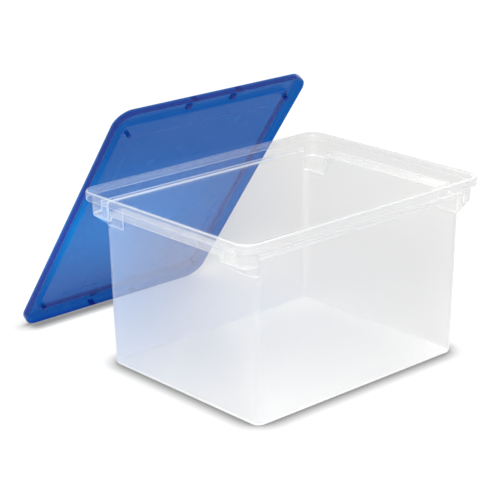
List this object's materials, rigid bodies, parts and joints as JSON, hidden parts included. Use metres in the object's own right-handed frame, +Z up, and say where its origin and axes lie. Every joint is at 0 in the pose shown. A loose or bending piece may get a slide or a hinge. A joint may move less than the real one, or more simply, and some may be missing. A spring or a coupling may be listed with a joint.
{
  "type": "portable file box",
  "caption": "Clear tub with a shelf for hanging files, grips at both ends and a tinted lid that stands leaning against its rim.",
  "frame": {"origin": "middle of the tub's flat underside, on the surface it stands on", "axes": "+X along the tub's long side, +Y from the tub towards the lid that leans behind it, +Z up"},
  "size_m": [0.466, 0.5512, 0.391],
  "materials": {
    "clear_plastic": "moulded translucent polypropylene, undyed, semi-gloss",
    "blue_plastic": "moulded translucent polypropylene, dyed blue, semi-gloss"
  },
  "bodies": {
    "tub": {"tub": "clear_plastic"},
    "lid": {"lid": "blue_plastic"}
  },
  "joints": [
    {"name": "lid_lift", "type": "slide", "parent": "tub", "child": "lid", "axis": [0, 0, 1], "range_m": [0, 0.3]}
  ]
}
